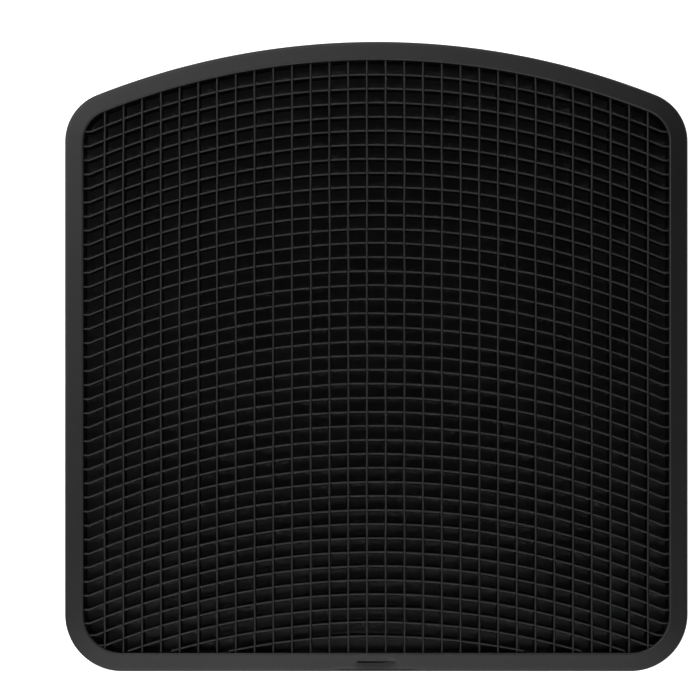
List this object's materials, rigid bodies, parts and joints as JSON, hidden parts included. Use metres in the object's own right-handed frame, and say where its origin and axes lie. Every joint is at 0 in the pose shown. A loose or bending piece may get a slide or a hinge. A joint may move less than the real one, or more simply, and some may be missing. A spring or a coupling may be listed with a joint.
{
  "type": "honeycomb grid",
  "caption": "Black plastic egg-crate light-control grid: a rounded frame with an arched top edge, filled with crossing upright and arched strips that make small rectangular cells",
  "frame": {"origin": "centre of the outline's bounding box, on the flat back that faces the lamp", "axes": "+Z out of the front face, towards what is lit; +Y towards the arched edge; +X to the right seen from the front"},
  "size_m": [0.18, 0.182, 0.0172],
  "materials": {
    "frame_plastic": "satin moulded black plastic",
    "strip_plastic": "matt black plastic strip",
    "screw_steel": "black zinc plated steel",
    "magnet_plating": "nickel plated"
  },
  "bodies": {
    "root": {"front_bezel": "frame_plastic", "rear_frame": "frame_plastic", "upright_strip_01": "strip_plastic", "upright_strip_02": "strip_plastic", "upright_strip_03": "strip_plastic", "upright_strip_04": "strip_plastic", "upright_strip_05": "strip_plastic", "upright_strip_06": "strip_plastic", "upright_strip_07": "strip_plastic", "upright_strip_08": "strip_plastic", "upright_strip_09": "strip_plastic", "upright_strip_10": "strip_plastic", "upright_strip_11": "strip_plastic", "upright_strip_12": "strip_plastic", "upright_strip_13": "strip_plastic", "upright_strip_14": "strip_plastic", "upright_strip_15": "strip_plastic", "upright_strip_16": "strip_plastic", "upright_strip_17": "strip_plastic", "upright_strip_18": "strip_plastic", "upright_strip_19": "strip_plastic", "upright_strip_20": "strip_plastic", "upright_strip_21": "strip_plastic", "upright_strip_22": "strip_plastic", "upright_strip_23": "strip_plastic", "upright_strip_24": "strip_plastic", "upright_strip_25": "strip_plastic", "upright_strip_26": "strip_plastic", "upright_strip_27": "strip_plastic", "upright_strip_28": "strip_plastic", "upright_strip_29": "strip_plastic", "upright_strip_30": "strip_plastic", "arched_strips_01_02": "strip_plastic", "arched_strips_03_04": "strip_plastic", "arched_strips_05_06": "strip_plastic", "arched_strips_07_08": "strip_plastic", "arched_strips_09_10": "strip_plastic", "arched_strips_11_12": "strip_plastic", "arched_strips_13_14": "strip_plastic", "arched_strips_15_16": "strip_plastic", "arched_strips_17_18": "strip_plastic", "arched_strips_19_20": "strip_plastic", "arched_strips_21_22": "strip_plastic", "arched_strips_23_24": "strip_plastic", "arched_strips_25_26": "strip_plastic", "arched_strips_27_28": "strip_plastic", "arched_strips_29_30": "strip_plastic", "arched_strips_31_32": "strip_plastic", "arched_strips_33_34": "strip_plastic", "arched_strips_35_36": "strip_plastic", "arched_strips_37_38": "strip_plastic", "arched_strips_39_40": "strip_plastic", "arched_strips_41": "strip_plastic", "frame_screws": "screw_steel", "holding_magnets": "magnet_plating"}
  },
  "joints": []
}
